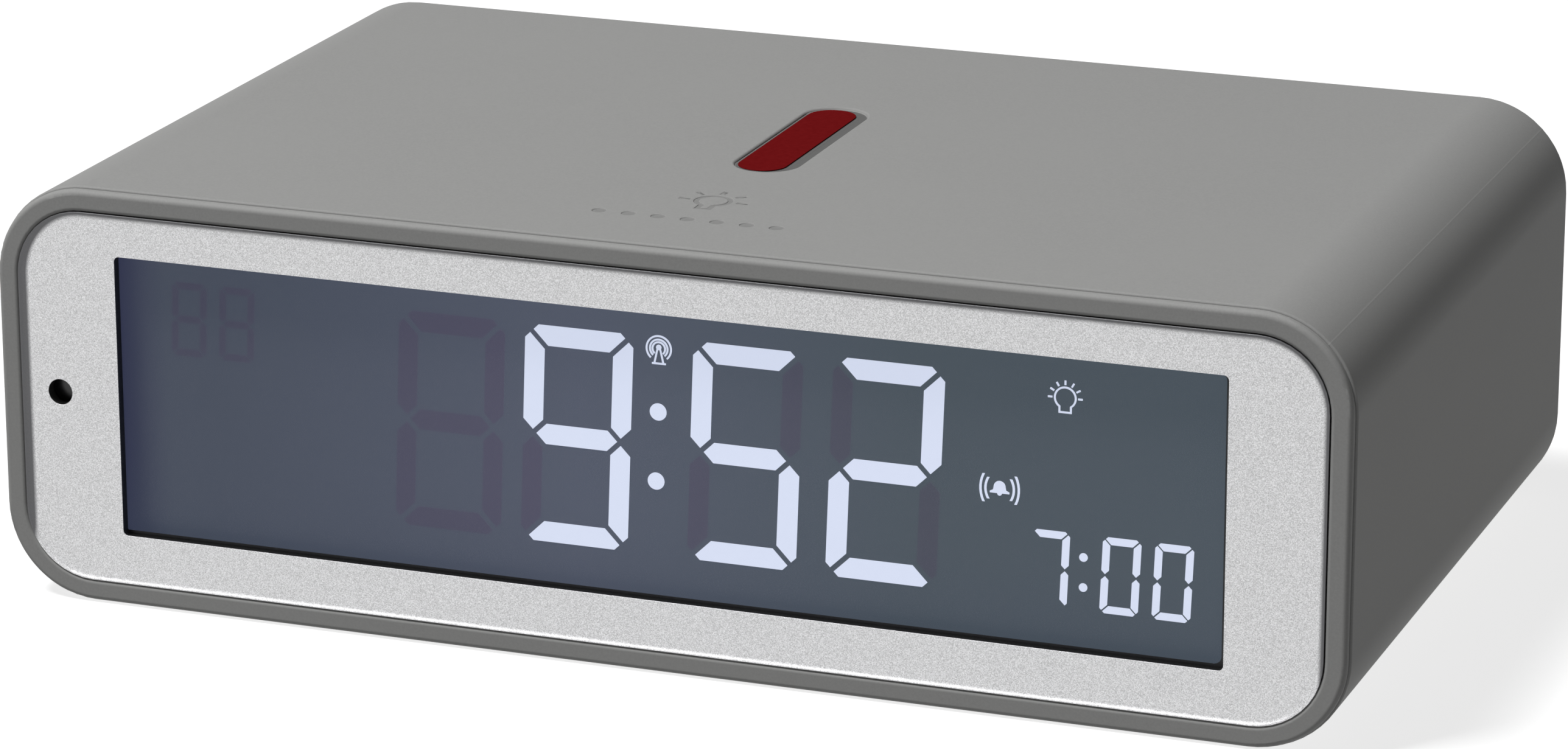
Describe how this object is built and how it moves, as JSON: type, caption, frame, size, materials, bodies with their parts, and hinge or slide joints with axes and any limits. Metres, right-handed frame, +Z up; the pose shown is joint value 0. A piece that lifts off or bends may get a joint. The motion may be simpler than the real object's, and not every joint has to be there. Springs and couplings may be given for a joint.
{
  "type": "radio-controlled alarm clock",
  "caption": "Bedside alarm clock: a rounded grey sleeve with a silver-framed digital display, a slot-shaped key mark on top, push buttons and a battery door behind.",
  "frame": {"origin": "centre of the underside's rectangle, on the surface that the clock stands on", "axes": "+X to the right as seen from the front, +Y from the display to the rear cover, +Z up"},
  "size_m": [0.132, 0.0794, 0.0408],
  "materials": {
    "soft_grey": "fine matt soft-touch lacquer",
    "ring_grey": "fine matt lacquer",
    "silver_plate": "silver metallic lacquer with a fine sparkle grain",
    "clear_window": "clear, glossy",
    "red_inlay": "satin deep red",
    "display_film": "dark slate polarising film",
    "display_glass": "dark liquid crystal glass",
    "lit_figures": "lit figures of a negative display",
    "light_guide": "clear acrylic",
    "white_plastic": "moulded, white",
    "screw_steel": "zinc-plated",
    "circuit_board": "green solder mask",
    "contact_rubber": "layered contact rubber",
    "black_plastic": "moulded, black",
    "plated_steel": "nickel-plated",
    "copper": "bare or lacquered copper",
    "cable_grey": "ribbed flat cable",
    "ferrite": "sintered, dark",
    "rear_grey": "fine-grained moulded plastic",
    "button_grey": "satin moulded plastic",
    "lead_insulation": "soft insulation",
    "battery_can": "plain sleeved cell"
  },
  "bodies": {
    "case": {"sleeve": "soft_grey", "front_frame": "ring_grey", "bezel_plate": "silver_plate", "display_window": "clear_window", "front_screws": "screw_steel", "red_inlay": "red_inlay", "front_polariser": "display_film", "front_glass": "display_glass", "rear_glass": "display_glass", "rear_polariser": "display_film", "display_segments": "lit_figures", "light_guide": "light_guide", "reflector_sheet": "white_plastic", "led_board": "circuit_board", "backlight_leds": "white_plastic", "display_holder": "white_plastic", "holder_screws": "screw_steel", "contact_strip": "contact_rubber", "main_board": "circuit_board", "board_screws": "screw_steel", "controller_chip": "black_plastic", "clock_crystal": "plated_steel", "tilt_switch": "plated_steel", "receiver_board": "circuit_board", "light_sensor": "light_guide", "touch_foils": "copper", "touch_springs": "copper", "board_connectors": "white_plastic", "ribbon_cable": "cable_grey", "ferrite_rod": "ferrite", "antenna_coil": "copper", "antenna_leads": "copper", "rear_cover": "rear_grey", "rear_screws": "screw_steel", "control_board": "circuit_board", "control_screws": "screw_steel", "switch_bodies": "plated_steel", "power_inlet": "plated_steel", "buzzer": "black_plastic", "buzzer_leads": "lead_insulation", "battery_upper": "battery_can", "battery_lower": "battery_can", "contact_plates": "plated_steel", "battery_springs": "plated_steel", "battery_leads": "lead_insulation"},
    "time_button": {"button_time": "button_grey", "plunger_time": "black_plastic"},
    "alarm_button": {"button_alarm": "button_grey", "plunger_alarm": "black_plastic"},
    "up_button": {"button_up": "button_grey", "plunger_up": "black_plastic"},
    "down_button": {"button_down": "button_grey", "plunger_down": "black_plastic"},
    "radio_button": {"button_radio": "button_grey", "plunger_radio": "black_plastic"},
    "door": {"battery_door": "rear_grey"}
  },
  "joints": [
    {"name": "time_press", "type": "slide", "parent": "case", "child": "time_button", "axis": [0, -1, 0], "range_m": [0, 0.0005], "stiffness_N_per_m": 300, "springref_m": -0.0005},
    {"name": "alarm_press", "type": "slide", "parent": "case", "child": "alarm_button", "axis": [0, -1, 0], "range_m": [0, 0.0005], "stiffness_N_per_m": 300, "springref_m": -0.0005},
    {"name": "up_press", "type": "slide", "parent": "case", "child": "up_button", "axis": [0, -1, 0], "range_m": [0, 0.0005], "stiffness_N_per_m": 300, "springref_m": -0.0005},
    {"name": "down_press", "type": "slide", "parent": "case", "child": "down_button", "axis": [0, -1, 0], "range_m": [0, 0.0005], "stiffness_N_per_m": 300, "springref_m": -0.0005},
    {"name": "radio_press", "type": "slide", "parent": "case", "child": "radio_button", "axis": [0, -1, 0], "range_m": [0, 0.0005], "stiffness_N_per_m": 300, "springref_m": -0.0005},
    {"name": "door_hinge", "type": "hinge", "parent": "case", "child": "door", "pos_m": [0.028, 0.03775, 0.0087], "axis": [-1, 0, 0], "range_deg": [0, 80]}
  ]
}
